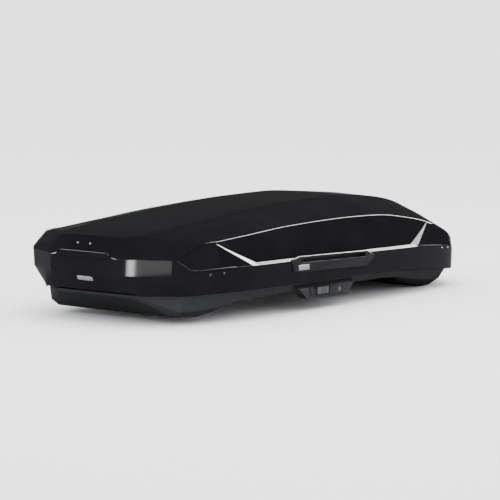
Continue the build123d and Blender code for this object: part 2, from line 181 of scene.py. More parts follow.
class Paint(Wiring):
    """A material in the making: one Principled shader and the nodes that feed it."""

    def __init__(self, name: str) -> None:
        """Start a material of that name."""
        self.material = bpy.data.materials.new(name)
        self.material.use_nodes = True
        super().__init__(self.material.node_tree)
        output = self.tree.nodes.new("ShaderNodeOutputMaterial")
        self.shader = self.tree.nodes.new("ShaderNodeBsdfPrincipled")
        self.tree.links.new(self.shader.outputs[0], output.inputs["Surface"])

    def set(self, values: dict[str, object]) -> None:
        """Set or link sockets of the Principled shader."""
        for name, value in values.items():
            self.feed(self.shader.inputs[name], value)

    def place(self, stretch: Sequence[float] = (1.0, 1.0, 1.0)) -> Signal:
        """Object coordinates, stretched along the axes."""
        where = self.node("ShaderNodeTexCoord", output="Object")
        return self.node("ShaderNodeMapping", {}, {"Vector": where, "Scale": tuple(stretch)})

    def noise(
        self, per_metre: float, detail: float = 2.0, stretch: Sequence[float] = (1.0, 1.0, 1.0)
    ) -> Signal:
        """Noise with that many cells in a metre."""
        sockets = {"Vector": self.place(stretch), "Scale": per_metre, "Detail": detail}
        return self.node("ShaderNodeTexNoise", {}, sockets, "Fac")

    def cells(self, per_metre: float) -> Signal:
        """Distance to the nearest of many scattered points, as in moulded grain."""
        sockets = {"Vector": self.place(), "Scale": per_metre}
        return self.node("ShaderNodeTexVoronoi", {"feature": "SMOOTH_F1"}, sockets, "Distance")

    def shades(self, dark: Colour, light: Colour, share: Signal) -> Signal:
        """Mix two colours by a signal."""
        sockets = {0: share, 6: (*dark, 1.0), 7: (*light, 1.0)}
        return self.node("ShaderNodeMix", {"data_type": "RGBA"}, sockets, 2)

    def bump(self, height: Signal, depth: float) -> None:
        """Raise the surface by a height signal that spans a depth in metres."""
        sockets = {"Height": height, "Distance": depth, "Strength": 1.0}
        self.set({"Normal": self.node("ShaderNodeBump", {}, sockets, "Normal")})


@dataclass(frozen=True)
class Finish:
    """A surface finish; a subclass mixes its paint."""

    name: str
    colour: Colour
    roughness: float = 0.4

    def tint(self, share: float) -> Colour:
        """The finish's colour, made lighter or darker by a share."""
        return tuple(share * part for part in self.colour)

    def mix(self, paint: Paint) -> None:
        """Feed the paint's shader; each kind of finish does this its own way."""
        raise NotImplementedError

    def material(self) -> bpy.types.Material:
        """Give the finish's material, made the first time that it is asked for."""
        made = bpy.data.materials.get(self.name)
        if made is None:
            paint = Paint(self.name)
            self.mix(paint)
            made = paint.material
        return made


@dataclass(frozen=True)
class GlossShell(Finish):
    """Polished black sheet plastic with a very faint flow in it."""

    specular: float = 0.3

    def mix(self, paint: Paint) -> None:
        """Mix polished plastic."""
        haze = paint.noise(5.0, 3.0)
        fine = paint.noise(260.0, 1.0)
        light = self.tint(2.2)
        paint.set({
            "Base Color": paint.shades(self.colour, light, haze ** 2.0),
            "Roughness": self.roughness + 0.03 * haze + 0.015 * fine,
            "Specular IOR Level": self.specular,
        })
        paint.bump(fine + 4.0 * paint.noise(14.0, 0.0), 0.000012)


@dataclass(frozen=True)
class GrainedPlastic(Finish):
    """Formed plastic with a leathery moulded grain."""

    grain: float = 620.0
    depth: float = 0.00022

    def mix(self, paint: Paint) -> None:
        """Mix grained plastic."""
        cells = paint.cells(self.grain)
        broad = paint.noise(9.0, 4.0)
        light = self.tint(1.7)
        paint.set({
            "Base Color": paint.shades(self.colour, light, 0.55 * broad + 0.5 * cells),
            "Roughness": self.roughness + 0.16 * broad - 0.10 * cells,
            "Specular IOR Level": 0.45,
        })
        paint.bump(cells + 0.35 * paint.noise(2.6 * self.grain, 1.0), self.depth)


@dataclass(frozen=True)
class MouldedPlastic(Finish):
    """Satin injection-moulded plastic with fine spark texture and rubbed shine."""

    spark: float = 1500.0
    depth: float = 0.00004

    def mix(self, paint: Paint) -> None:
        """Mix satin plastic."""
        spark = paint.noise(self.spark, 2.0)
        rubbed = paint.noise(28.0, 3.0)
        light = self.tint(1.5)
        paint.set({
            "Base Color": paint.shades(self.colour, light, rubbed),
            "Roughness": self.roughness + 0.14 * spark - 0.10 * rubbed,
            "Specular IOR Level": 0.5,
        })
        paint.bump(spark, self.depth)


@dataclass(frozen=True)
class BrushedMetal(Finish):
    """Bare or plated metal, brushed along one axis and a little uneven."""

    stretch: tuple[float, float, float] = (0.02, 1.0, 1.0)

    def mix(self, paint: Paint) -> None:
        """Mix brushed metal."""
        lines = paint.noise(1400.0, 2.0, self.stretch)
        cloud = paint.noise(35.0, 4.0)
        dark = self.tint(0.72)
        paint.set({
            "Base Color": paint.shades(dark, self.colour, 0.6 * cloud + 0.4 * lines),
            "Roughness": self.roughness + 0.16 * lines + 0.12 * cloud - 0.1,
            "Metallic": 1.0,
        })
        paint.bump(lines, 0.00002)


@dataclass(frozen=True)
class PowderCoat(Finish):
    """Baked powder paint with its orange-peel skin."""

    def mix(self, paint: Paint) -> None:
        """Mix powder coat."""
        peel = paint.noise(420.0, 2.0)
        dust = paint.noise(12.0, 4.0)
        light = self.tint(1.6)
        paint.set({
            "Base Color": paint.shades(self.colour, light, dust),
            "Roughness": self.roughness + 0.15 * peel,
            "Coat Weight": 0.15,
            "Coat Roughness": 0.3,
        })
        paint.bump(peel, 0.00008)


class Coat(Enum):
    """The finishes on this box, one for each record slot and a few more."""

    LID = GlossShell("polished_black", (0.0035, 0.0035, 0.0040), 0.05)
    LINING = GrainedPlastic("lining_black", (0.012, 0.012, 0.013), 0.6, 420.0, 0.00012)
    HANDLE = GlossShell("handle_black", (0.0080, 0.0080, 0.0086), 0.12, 0.4)
    PLATE = BrushedMetal("badge_plate", (0.86, 0.87, 0.88), 0.32)
    RIVET = BrushedMetal("rivet_alloy", (0.50, 0.51, 0.53), 0.36)
    TRAY = GrainedPlastic("tray_grain", (0.013, 0.0135, 0.0145), 0.5)
    RAIL = BrushedMetal("rail_steel", (0.55, 0.56, 0.57), 0.40)
    SADDLE = MouldedPlastic("saddle_nylon", (0.030, 0.030, 0.032), 0.5)
    ZINC = BrushedMetal("bracket_zinc", (0.60, 0.61, 0.60), 0.42, (0.3, 1.0, 0.3))
    PIN = BrushedMetal("pin_steel", (0.70, 0.70, 0.71), 0.24)
    LOCK = MouldedPlastic("lock_housing", (0.012, 0.012, 0.013), 0.36)
    LEVER = MouldedPlastic("lever_grey", (0.045, 0.046, 0.048), 0.42)
    KEY = BrushedMetal("key_nickel", (0.78, 0.77, 0.74), 0.22, (1.0, 1.0, 1.0))
    ARM = PowderCoat("arm_black", (0.016, 0.016, 0.017), 0.45)
    KNOB = MouldedPlastic("knob_grip", (0.022, 0.022, 0.024), 0.55, 900.0, 0.0001)
    JAW = MouldedPlastic("jaw_nylon", (0.016, 0.016, 0.017), 0.6, 700.0, 0.0001)
    SCREW = BrushedMetal("screw_zinc", (0.62, 0.61, 0.56), 0.30)

    @property
    def material(self) -> bpy.types.Material:
        """The finish's material."""
        return self.value.material()


# ---- mesh tools ---------------------------------------------------------------------------


def weld(bm: bmesh.types.BMesh) -> None:
    """Merge corners that coincide and drop edges of no length."""
    bmesh.ops.remove_doubles(bm, verts=bm.verts, dist=WELD)
    bmesh.ops.dissolve_degenerate(bm, edges=bm.edges, dist=WELD / 2)


def bridge(
    bm: bmesh.types.BMesh,
    lower: Sequence[bmesh.types.BMVert],
    upper: Sequence[bmesh.types.BMVert],
    closed: bool = True,
) -> None:
    """Join two rows of corners with a band of faces, right round if they are closed."""
    for here in range(len(lower) if closed else len(lower) - 1):
        there = (here + 1) % len(lower)
        bm.faces.new((lower[here], lower[there], upper[there], upper[here]))


def shade(mesh: bpy.types.Mesh, sharp: float) -> None:
    """Shade a mesh smooth, and keep edges sharper than this many degrees hard."""
    mesh.polygons.foreach_set("use_smooth", [True] * len(mesh.polygons))
    mesh.set_sharp_from_angle(angle=math.radians(sharp))


def finish_mesh(
    name: str,
    bm: bmesh.types.BMesh,
    coats: Sequence[Coat],
    turn_out: bool = True,
    sharp: float = 35.0,
) -> bpy.types.Object:
    """Turn an edit mesh into a piece with smooth shading broken at sharp edges.

    Args:
        name: the piece's name.
        bm: its mesh, in metres, freed here.
        coats: its finishes, in the order of the faces' material index.
        turn_out: make the faces point outwards.
        sharp: edges sharper than this many degrees stay hard.

    Returns:
        The new object, linked to the scene.
    """
    weld(bm)
    if turn_out:
        bmesh.ops.recalc_face_normals(bm, faces=bm.faces)
    mesh = bpy.data.meshes.new(name)
    bm.to_mesh(mesh)
    bm.free()
    for coat in coats:
        mesh.materials.append(coat.material)
    shade(mesh, sharp)
    piece = bpy.data.objects.new(name, mesh)
    bpy.context.scene.collection.objects.link(piece)
    return piece


def modify(piece: bpy.types.Object, name: str, kind: str, **settings: object) -> None:
    """Give a piece a modifier with these settings."""
    modifier = piece.modifiers.new(name, kind)
    for key, value in settings.items():
        setattr(modifier, key, value)


def settle(piece: bpy.types.Object) -> bpy.types.Object:
    """Apply every modifier of a piece, so that a plain mesh is left."""
    bpy.context.view_layer.update()
    graph = bpy.context.evaluated_depsgraph_get()
    mesh = bpy.data.meshes.new_from_object(piece.evaluated_get(graph), depsgraph=graph)
    piece.modifiers.clear()
    old = piece.data
    piece.data = mesh
    bpy.data.meshes.remove(old)
    mesh.name = piece.name
    return piece


def cut_away(piece: bpy.types.Object, cutters: Sequence[bpy.types.Object]) -> None:
    """Cut closed solids out of a piece, and delete them."""
    for cutter in cutters:
        modify(
            piece, "cut", "BOOLEAN", operation="DIFFERENCE", solver="EXACT", object=cutter
        )
    settle(piece)
    for cutter in cutters:
        bpy.data.objects.remove(cutter)


def beside(side: int) -> Placing:
    """A rule that places (x, height, reach) in millimetres on one side of the box."""
    return lambda x, z, reach: Vector((x, side * reach, z)) * MM


def prism(
    outline: Sequence[Point], near: float, far: float, place: Placing
) -> bmesh.types.BMesh:
    """Closed prism on a flat outline.

    Args:
        outline: (a, b) corners in millimetres.
        near: where the prism starts, in millimetres.
        far: where it ends.
        place: turns (a, b, reach) in millimetres into a point in metres.

    Returns:
        The prism's edit mesh.
    """
    bm = bmesh.new()
    rings = [[bm.verts.new(place(a, b, reach)) for a, b in outline] for reach in (near, far)]
    for ring in rings:
        bm.faces.new(ring)
    bridge(bm, *rings)
    bmesh.ops.recalc_face_normals(bm, faces=bm.faces)
    return bm


def mount(
    piece: bpy.types.Object, body: str, slot: str, nodes: Sequence[str] = ()
) -> bpy.types.Object:
    """Make a piece ride on its body and stand for CAD nodes, and report it.

    Args:
        piece: the finished piece.
        body: the body that it moves with.
        slot: the record's material slot that its finish belongs to; not used.
        nodes: CAD nodes that it replaces.

    Returns:
        The piece.
    """
    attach(piece, body)
    if nodes:
        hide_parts(*nodes)
    LOG.info("%-26s rides on %-24s %6d faces", piece.name, body, len(piece.data.polygons))
    return piece


def body_of(node: str) -> str:
    """Name the body that carries a CAD node."""
    return frame["nodes"][node]["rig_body"]


@dataclass(frozen=True)
class Refined:
    """A CAD node made again with eased edges and even shading."""

    node: str
    coat: Coat
    slot: str
    ease: float = 0.6
    limit: float = 30.0
    segments: int = 2
    flat: float = 0.6           # faces that meet at less than this many degrees are one face
    evenness: int = 80

    def build(self) -> bpy.types.Object:
        """Copy the node's mesh, merge it, ease its edges and put it in the node's place."""
        bm = bmesh.new()
        bm.from_mesh(frame["nodes"][self.node].data)
        bmesh.ops.remove_doubles(bm, verts=bm.verts, dist=WELD)
        bmesh.ops.dissolve_limit(
            bm, angle_limit=math.radians(self.flat), verts=bm.verts, edges=bm.edges, delimit=set()
        )
        piece = finish_mesh(f"{self.node}.look", bm, [self.coat], turn_out=False)
        modify(
            piece, "eased_edges", "BEVEL", width=self.ease * MM, segments=self.segments,
            limit_method="ANGLE", angle_limit=math.radians(self.limit), use_clamp_overlap=True,
        )
        modify(piece, "even_shading", "WEIGHTED_NORMAL", weight=self.evenness, keep_sharp=False)
        return mount(settle(piece), body_of(self.node), self.slot, [self.node])


# ---- curves through tables ----------------------------------------------------------------


class Track:
    """A value along the box, given at a few places, smooth or straight between them."""

    def __init__(
        self, places: Sequence[float], values: Sequence[float], straight_to: float
    ) -> None:
        """Fit the track.

        Args:
            places: where the values stand, in rising order.
            values: the values there.
            straight_to: the track runs straight between places up to here, and bends after it.
        """
        self.places = list(places)
        self.values = list(values)
        self.straight_to = straight_to
        rises = [
            (after - before) / (right - left)
            for before, after, left, right in zip(values, values[1:], places, places[1:])
        ]
        self.slopes = [rises[0]]
        for left, right in zip(rises, rises[1:]):
            together = left * right
            self.slopes.append(2 * together / (left + right) if together > 0 else 0.0)
        self.slopes.append(rises[-1])
        for spot, place in enumerate(self.places[:-1]):
            if place <= straight_to:
                self.slopes[spot] = rises[spot]

    def at(self, place: float) -> float:
        """The value at a place along the box."""
        spot = min(max(bisect_right(self.places, place) - 1, 0), len(self.places) - 2)
        span = self.places[spot + 1] - self.places[spot]
        share = (place - self.places[spot]) / span
        low, high = self.values[spot], self.values[spot + 1]
        if self.places[spot + 1] <= self.straight_to:
            return low + share * (high - low)
        rise = span * self.slopes[spot], span * self.slopes[spot + 1]
        bend = share * share * (3 - 2 * share)      # eases from 0 to 1
        lift = share * (1 - share) ** 2 * rise[0] - share * share * (1 - share) * rise[1]
        return low + bend * (high - low) + lift


def rounded(points: Sequence[Point], radii: Sequence[float]) -> list[Point]:
    """Round the inner corners of an open outline.

    Each rounded corner becomes four points of a curve with a guard point before and after it,
    which keeps the flats beside it flat.

    Args:
        points: the outline's corners.
        radii: a setback for each corner; 0 leaves a corner as it is.

    Returns:
        The rounded outline.
    """
    most_reach, guard_reach, most_guard = 0.30, 2.2, 0.45
    result = [points[0]]
    for before, corner, after, radius in zip(points, points[1:], points[2:], radii[1:]):
        if radius == 0:
            result.append(corner)
            continue
        here = Vector(corner)
        ways = [Vector(before) - here, Vector(after) - here]
        reach = [min(radius, most_reach * way.length) for way in ways]
        guard = [min(guard_reach * radius, most_guard * way.length) for way in ways]
        ways = [way.normalized() if way.length > 1e-9 else Vector((0.0, 0.0)) for way in ways]
        start, end = here + ways[0] * reach[0], here + ways[1] * reach[1]
        arc = [
            start * (1 - t) ** 2 + here * (2 * t * (1 - t)) + end * t * t for t in (1 / 3, 2 / 3)
        ]
        curve = [here + ways[0] * guard[0], start, *arc, end, here + ways[1] * guard[1]]
        result += [tuple(point) for point in curve]
    result.append(points[-1])
    return result


# ---- lid ----------------------------------------------------------------------------------

# x, then (half-width, height) at rim, low edge, waist, shoulder, brow and ridge, then the crown.
LID_TABLE = (
    (-970, (150, 111.9), (165, 112), (165, 175), (165, 176), (135, 177.5), (110, 178.5), 179),
    (-930, (225, 40), (236, 111), (237, 174.5), (237, 176), (150, 240), (110, 247), 249),
    (-864, (289, 39), (353, 112), (355, 174), (355.2, 175.5), (205, 249), (190, 254), 257),
    (-809, (343, 38), (357, 58), (379, 134), (372, 203), (273, 241), (188, 260), 264),
    (-790, (360, 38), (361.5, 43), (382, 132), (378, 211), (297, 241), (187, 262), 266),
    (-752, (377, 38.5), (378, 43), (391, 131), (389, 228), (300, 245), (185.5, 265.5), 270),
    (-700, (392, 39), (393, 44), (403, 132), (399, 231), (300, 252), (184, 269), 273),
    (-520, (426, 40), (427, 45), (436, 133), (401, 242), (296, 267), (181, 285), 289),
    (-250, (439, 40), (440, 45), (444, 132), (402, 258), (295, 286), (180, 305), 310),
    (50, (440, 37), (440.5, 42), (444.6, 128), (402, 263), (295, 296), (180, 318), 323),
    (300, (440, 32), (440.3, 37), (444, 124), (401, 257), (293, 293), (179, 320), 325),
    (520, (434, 20), (434.2, 25), (437, 118), (400, 229), (288, 272), (172, 305), 310),
    (650, (424, 10), (424.2, 15), (427, 109), (396, 202), (280, 250), (162, 288), 292),
    (790, (402, 0), (402.2, 5), (405, 95), (378, 159), (256, 213), (140, 256), 260),
    (900, (336, -8), (336.4, -3), (340, 62), (336, 114), (235, 165), (112, 206), 210),
    (970, (235, -12), (235.5, -7), (239, 45), (236, 88), (165, 114), (85, 136), 139),
)


@dataclass
class LidShell:
    """The lid: a thin polished shell with a recessed panel in each side and a rear lip."""

    wall: float = 4.0
    step: float = 15.0
    straight_to: float = -752.0
    crease_round: float = 5.0
    chamfer: float = 4.0
    nose_round: float = 26.0
    nose_turns: int = 7
    tail_round: float = 3.0
    # the side panel's outer edge and its foot, (x, height), and the depth of the foot
    edge_line: tuple[Point, ...] = (
        (-690, 224), (-517, 131), (-250, 129), (50, 125.5), (300, 120.5), (522, 115), (640, 199)
    )
    foot_line: tuple[Point, ...] = (
        (-690, 226), (-484, 138), (-250, 136), (50, 132), (300, 127), (491, 123), (640, 202)
    )
    depth_line: tuple[Point, ...] = ((-690, 1.0), (-484, 15.0), (491, 15.0), (640, 1.5))
    knees: tuple[float, ...] = (-690, -517, -484, 491, 522, 640)
    knee_reach: float = 3.0
    # a station of the table that the tail's facets run straight through
    uncreased: float = -790
    # the panel's wall bends once: its share of the rise and of the depth there
    wall_bend: Point = (0.42, 0.38)
    panel_gap: float = 6.0
    # off the panel the side bends nowhere; its spare point stands at this share of the height
    spare_share: Point = (0.85, 0.5)
    # width of the little ledge along the waist, which fades out behind the panel
    ledge_line: tuple[Point, ...] = ((-930, 0.4), (-862, 1.6), (-700, 1.6), (-630, 0.3))
    # how far the broad creases of the roof are softened
    soft_line: tuple[Point, ...] = ((-970, 0.15), (-930, 0.25), (-752, 0.5), (-520, 1.0))
    # how much each corner is rounded, from the rim to the shoulder, then at brow and ridge
    side_rounds: tuple[float, ...] = (0, 1.5, 1.2, 0.8, 1.6, 1.8, 2.6, 0)
    roof_rounds: Point = (24.0, 12.0)
    lip_outline: tuple[Point, ...] = ((-145, 172), (-113, 197), (113, 197), (145, 172))
    lip_ease: float = 4.5
    tracks: list[list[Track]] = field(default_factory=list)

    def __post_init__(self) -> None:
        """Fit a track to each corner of the section."""
        places = [row[0] for row in LID_TABLE]
        for column in range(1, 7):
            self.tracks.append([
                Track(places, [row[column][part] for row in LID_TABLE], self.straight_to)
                for part in (0, 1)
            ])
        self.crown = Track(places, [row[7] for row in LID_TABLE], self.straight_to)

    def line_at(self, line: Sequence[Point], x: float) -> float:
        """Read a straight-line table at a place along the box."""
        track = Track([a for a, _ in line], [b for _, b in line], line[-1][0])
        return track.at(min(max(x, line[0][0]), line[-1][0]))

    def side_at(self, x: float, z: float) -> float:
        """Half the lid's width at a place and height, on the faces below the shoulder."""
        low, waist, shoulder = ([track.at(x) for track in self.tracks[row]] for row in (1, 2, 3))
        lower, upper = (low, waist) if z < waist[1] else (waist, shoulder)
        share = (z - lower[1]) / (upper[1] - lower[1])
        return lower[0] + share * (upper[0] - lower[0])

    def section(self, x: float) -> list[Point]:
        """Half of the outline at a place, from the rim up to the crown, corners rounded."""
        rim, low, waist, shoulder, brow, ridge = (
            (pair[0].at(x), pair[1].at(x)) for pair in self.tracks
        )
        depth = self.line_at(self.depth_line, x)
        edge_z, foot_z = self.line_at(self.edge_line, x), self.line_at(self.foot_line, x)
        inside = self.edge_line[0][0] < x < self.edge_line[-1][0]
        if inside:
            bend_z = edge_z + self.wall_bend[0] * (foot_z - edge_z)
            top_z = shoulder[1] - self.panel_gap
            panel = [
                (self.side_at(x, edge_z), edge_z),
                (self.side_at(x, bend_z) - self.wall_bend[1] * depth, bend_z),
                (self.side_at(x, foot_z) - depth, foot_z),
                (self.side_at(x, top_z), top_z),
            ]
        else:
            spare_z = waist[1] + self.spare_share[x > 0] * (shoulder[1] - waist[1])
            panel = [(self.side_at(x, spare_z), spare_z)] * 4
        ledge = self.line_at(self.ledge_line, x)
        step = (waist[0] - ledge, waist[1] + 0.6 * ledge)
        lower = [waist, step, panel[0]]
        if panel[0][1] < step[1]:
            lower = [panel[0]] * 3
        points = [rim, low, *lower, *panel[1:], shoulder, brow, ridge, (0.0, self.crown.at(x))]
        soft = self.line_at(self.soft_line, x)
        roof = [soft * radius for radius in self.roof_rounds]
        return rounded(points, [*self.side_rounds, self.crease_round, *roof, 0])

    def stations(self) -> list[float]:
        """Places along the box where the shell has an outline."""
        first, last = LID_TABLE[0][0], LID_TABLE[-1][0]
        creases = [row[0] for row in LID_TABLE[1:6] if row[0] != self.uncreased]
        places = {first, first + self.tail_round / 2, first + self.tail_round, last}
        reaches = [side * share * self.chamfer for side in (-1, 1) for share in (1, 2.4)]
        places |= {crease + reach for crease in creases for reach in reaches}
        places |= {x for line in (self.edge_line, self.foot_line) for x, _ in line}
        places |= {x + side * self.knee_reach for x in self.knees for side in (-1, 1)}
        turns = self.nose_turns
        for turn in range(1, turns):
            places.add(last - self.nose_round * (1 - math.sin(math.pi / 2 * turn / turns)))
        x = self.straight_to + 2 * self.step
        while x < last - self.nose_round - self.step / 2:
            if min(abs(x - place) for place in places) > 0.4 * self.step:
                places.add(x)
            x += self.step
        ordered = sorted(places)
        filled = []
        for here, there in zip(ordered, ordered[1:]):
            parts = max(1, round((there - here) / self.step))
            filled += [here + (there - here) * part / parts for part in range(parts)]
        return [*filled, last]

    def ring(self, x: float) -> list[Vector]:
        """The whole outline at a place, right rim to left rim, rounded in at nose and tail."""
        half = self.section(x)
        low, high = min(z for _, z in half), max(z for _, z in half)
        width = max(y for y, _ in half)
        first, last = LID_TABLE[0][0], LID_TABLE[-1][0]
        inset = 0.0
        for end, radius in ((last, self.nose_round), (first, self.tail_round)):
            reach = radius - abs(end - x)
            if reach > 0:
                inset = radius - math.sqrt(max(radius * radius - reach * reach, 0.0))
        across = 1 - inset / width
        points = [(y * across, low + (z - low) * (1 - inset / (high - low))) for y, z in half]
        outline = [(-y, z) for y, z in points] + [(y, z) for y, z in reversed(points[:-1])]
        return [Vector((x, y, z)) * MM for y, z in outline]

    def skin(self) -> bmesh.types.BMesh:
        """The outer sheet, open along its rim, its faces turned outwards."""
        bm = bmesh.new()
        places = self.stations()
        rings = [[bm.verts.new(point) for point in self.ring(x)] for x in places]
        for ring, following in zip(rings, rings[1:]):
            bridge(bm, ring, following, closed=False)
        wall_end = LID_TABLE[1][0] - self.chamfer
        for spot, x in enumerate(places[:-1]):
            if x < wall_end - 1e-6:
                ring, following = rings[spot], rings[spot + 1]
                bm.faces.new((ring[-1], ring[0], following[0], following[-1]))
        for ring in (rings[0], rings[-1]):
            self.cap(bm, ring)
        weld(bm)
        bmesh.ops.recalc_face_normals(bm, faces=bm.faces)
        top = max(bm.faces, key=lambda face: face.calc_center_median().z)
        if top.normal.z < 0:
            bmesh.ops.reverse_faces(bm, faces=bm.faces)
        return bm

    def cap(self, bm: bmesh.types.BMesh, ring: Sequence[bmesh.types.BMVert]) -> None:
        """Close an end with a narrow ring of faces and a flat fan inside it."""
        margin, most_share = 6 * MM, 0.3
        middle = sum((vert.co for vert in ring), Vector()) / len(ring)
        inner = []
        for vert in ring:
            way = middle - vert.co
            reach = min(margin, most_share * way.length)
            inner.append(bm.verts.new(vert.co + way.normalized() * reach))
        hub = bm.verts.new(middle)
        for here in range(len(ring)):
            there = (here + 1) % len(ring)
            bm.faces.new((ring[here], ring[there], inner[there], inner[here]))
            bm.faces.new((inner[here], inner[there], hub))

    def build(self, pockets: Sequence[bpy.types.Object]) -> bpy.types.Object:
        """Thicken the sheet, cut the handle pockets and put it in the CAD shell's place.

        Args:
            pockets: closed solids to cut away, removed afterwards.

        Returns:
            The lid's shell.
        """
        piece = finish_mesh("lid_skin", self.skin(), [Coat.LID, Coat.LINING], turn_out=False)
        modify(
            piece, "wall", "SOLIDIFY", thickness=self.wall * MM, offset=-1.0, material_offset=1,
            use_even_offset=True, thickness_clamp=1.0,
        )
        settle(piece)
        cut_away(piece, pockets)
        shade(piece.data, 35.0)
        return mount(piece, "lid", "gloss_shell", ["lid_shell"])

    def build_lip(self) -> bpy.types.Object:
        """The raised finger lip across the tail."""
        first = LID_TABLE[0][0]
        out, back = 5, 20
        bm = prism(
            self.lip_outline, first - out, first + back, lambda y, z, x: Vector((x, y, z)) * MM
        )
        bmesh.ops.bevel(
            bm, geom=bm.edges[:], offset=self.lip_ease * MM, segments=5, profile=0.6,
            affect="EDGES",
        )
        return mount(finish_mesh("rear_lip", bm, [Coat.LID]), "lid", "gloss_shell")


@dataclass(frozen=True)
class HandlePocket:
    """The sunk tub behind a side handle, and the solid that opens the lid for it."""

    side: int
    # (x, height) corners; the handle's own plate reaches past them all round
    outline: tuple[Point, ...] = (
        (-287, 128), (-250, 138), (166, 127), (209, 106), (161, 74), (-273, 88)
    )
    floor_y: float = 420.0
    mouth_y: float = 443.0
    wall: float = 2.0

    def cutter(self) -> bpy.types.Object:
        """The solid to cut out of the lid, a little longer than the pocket at both ends."""
        bm = prism(self.outline, self.floor_y - 1, self.mouth_y + 25, beside(self.side))
        return finish_mesh(f"pocket_cutter_{self.side}", bm, [Coat.LINING])

    def build(self, name: str) -> bpy.types.Object:
        """The tub: a floor and a wall round it, open outwards."""
        bm, place = bmesh.new(), beside(self.side)
        mouth, floor_ring = (
            [bm.verts.new(place(x, z, reach)) for x, z in self.outline]
            for reach in (self.mouth_y, self.floor_y)
        )
        bm.faces.new(floor_ring)
        bridge(bm, mouth, floor_ring)
        bmesh.ops.recalc_face_normals(bm, faces=bm.faces)
        floor = min(bm.faces, key=lambda face: abs(face.calc_center_median().y))
        if floor.normal.y * self.side < 0:
            bmesh.ops.reverse_faces(bm, faces=bm.faces)
        piece = finish_mesh(name, bm, [Coat.LINING], turn_out=False)
        modify(piece, "wall", "SOLIDIFY", thickness=self.wall * MM, offset=-1.0)
        return mount(settle(piece), "lid", "gloss_shell")


@dataclass(frozen=True)
class GripHandle:
    """A side handle: a flat six-cornered plate with a wide chamfer and a long finger slot."""

    side: int
    outline: tuple[Point, ...] = (
        (-305, 131), (-258, 144), (171, 132), (227, 107), (168, 69), (-286, 84)
    )
    slot: tuple[Point, ...] = ((-246, 119), (-246, 134), (160, 123), (160, 108))
    back_y: float = 440.5
    face_y: float = 449.0
    chamfer: float = 5.0
    ease: float = 0.9

    def build(self, word: str) -> bpy.types.Object:
        """Chamfer the plate's face, cut the slot and ease every edge.

        Args:
            word: the side's name.

        Returns:
            The handle.
        """
        bm = prism(self.outline, self.back_y, self.face_y, beside(self.side))
        face = max(bm.faces, key=lambda one: abs(one.calc_center_median().y))
        bmesh.ops.bevel(
            bm, geom=face.edges[:], offset=self.chamfer * MM, segments=4, profile=0.55,
            affect="EDGES",
        )
        piece = finish_mesh(f"handle_{word}.look", bm, [Coat.HANDLE])
        hole = prism(self.slot, self.back_y - 5, self.face_y + 5, beside(self.side))
        cut_away(piece, [finish_mesh("slot_cutter", hole, [Coat.HANDLE])])
        modify(
            piece, "eased_edges", "BEVEL", width=self.ease * MM, segments=3,
            limit_method="ANGLE", angle_limit=math.radians(60),
        )
        shade(settle(piece).data, 32.0)
        return mount(piece, "lid", "handle_gloss", [f"handle_{word}"])


@dataclass(frozen=True)
class CornerBeads:
    """Fine raised lines round the facet at each rear corner, moulded into the lid."""

    side: int
    radius: float = 2.4
    tip_share: float = 0.35
    turns: int = 12
    steps: int = 14
    # each line as first place, last place and the corner of the section that it follows:
    # over the facet, down its tail and along the waist
    lines: tuple[tuple[float, float, int], ...] = (
        (-862, -692, 3), (-863, -809, 2), (-809, -600, 2)
    )

    def route(self, lid: LidShell, first: float, last: float, row: int) -> list[Vector]:
        """Points of the lid's corner line between two places."""
        creases = {line[0] for line in LID_TABLE if first < line[0] < last}
        places = {first + share * (last - first) / self.steps for share in range(self.steps + 1)}
        place = beside(self.side)
        return [
            place(x, lid.tracks[row][1].at(x), lid.tracks[row][0].at(x))
            for x in sorted(places | creases)
        ]

    def build(self, lid: LidShell, word: str) -> bpy.types.Object:
        """Sweep a round section along each line, thinner at its two tips.

        Args:
            lid: the shell that the lines lie on.
            word: the side's name.

        Returns:
            The lines of this side, as one piece.
        """
        bm = bmesh.new()
        for line in self.lines:
            route = self.route(lid, *line)
            rings = []
            for step, spot in enumerate(route):
                before, after = route[max(step - 1, 0)], route[min(step + 1, len(route) - 1)]
                ahead = (after - before).normalized()
                across = ahead.cross(Vector((0, 0, 1))).normalized()
                over = across.cross(ahead)
                tip = step in (0, len(route) - 1)
                reach = self.radius * MM * (self.tip_share if tip else 1.0)
                angles = [2 * math.pi * turn / self.turns for turn in range(self.turns)]
                rings.append([
                    bm.verts.new(spot + (across * math.cos(a) + over * math.sin(a)) * reach)
                    for a in angles
                ])
            for ring, following in zip(rings, rings[1:]):
                bridge(bm, ring, following)
            bm.faces.new(rings[0])
            bm.faces.new(rings[-1])
        piece = finish_mesh(f"corner_beads_{word}", bm, [Coat.LID], sharp=50.0)
        return mount(piece, "lid", "gloss_shell")


# ---- repeats made with geometry nodes -----------------------------------------------------


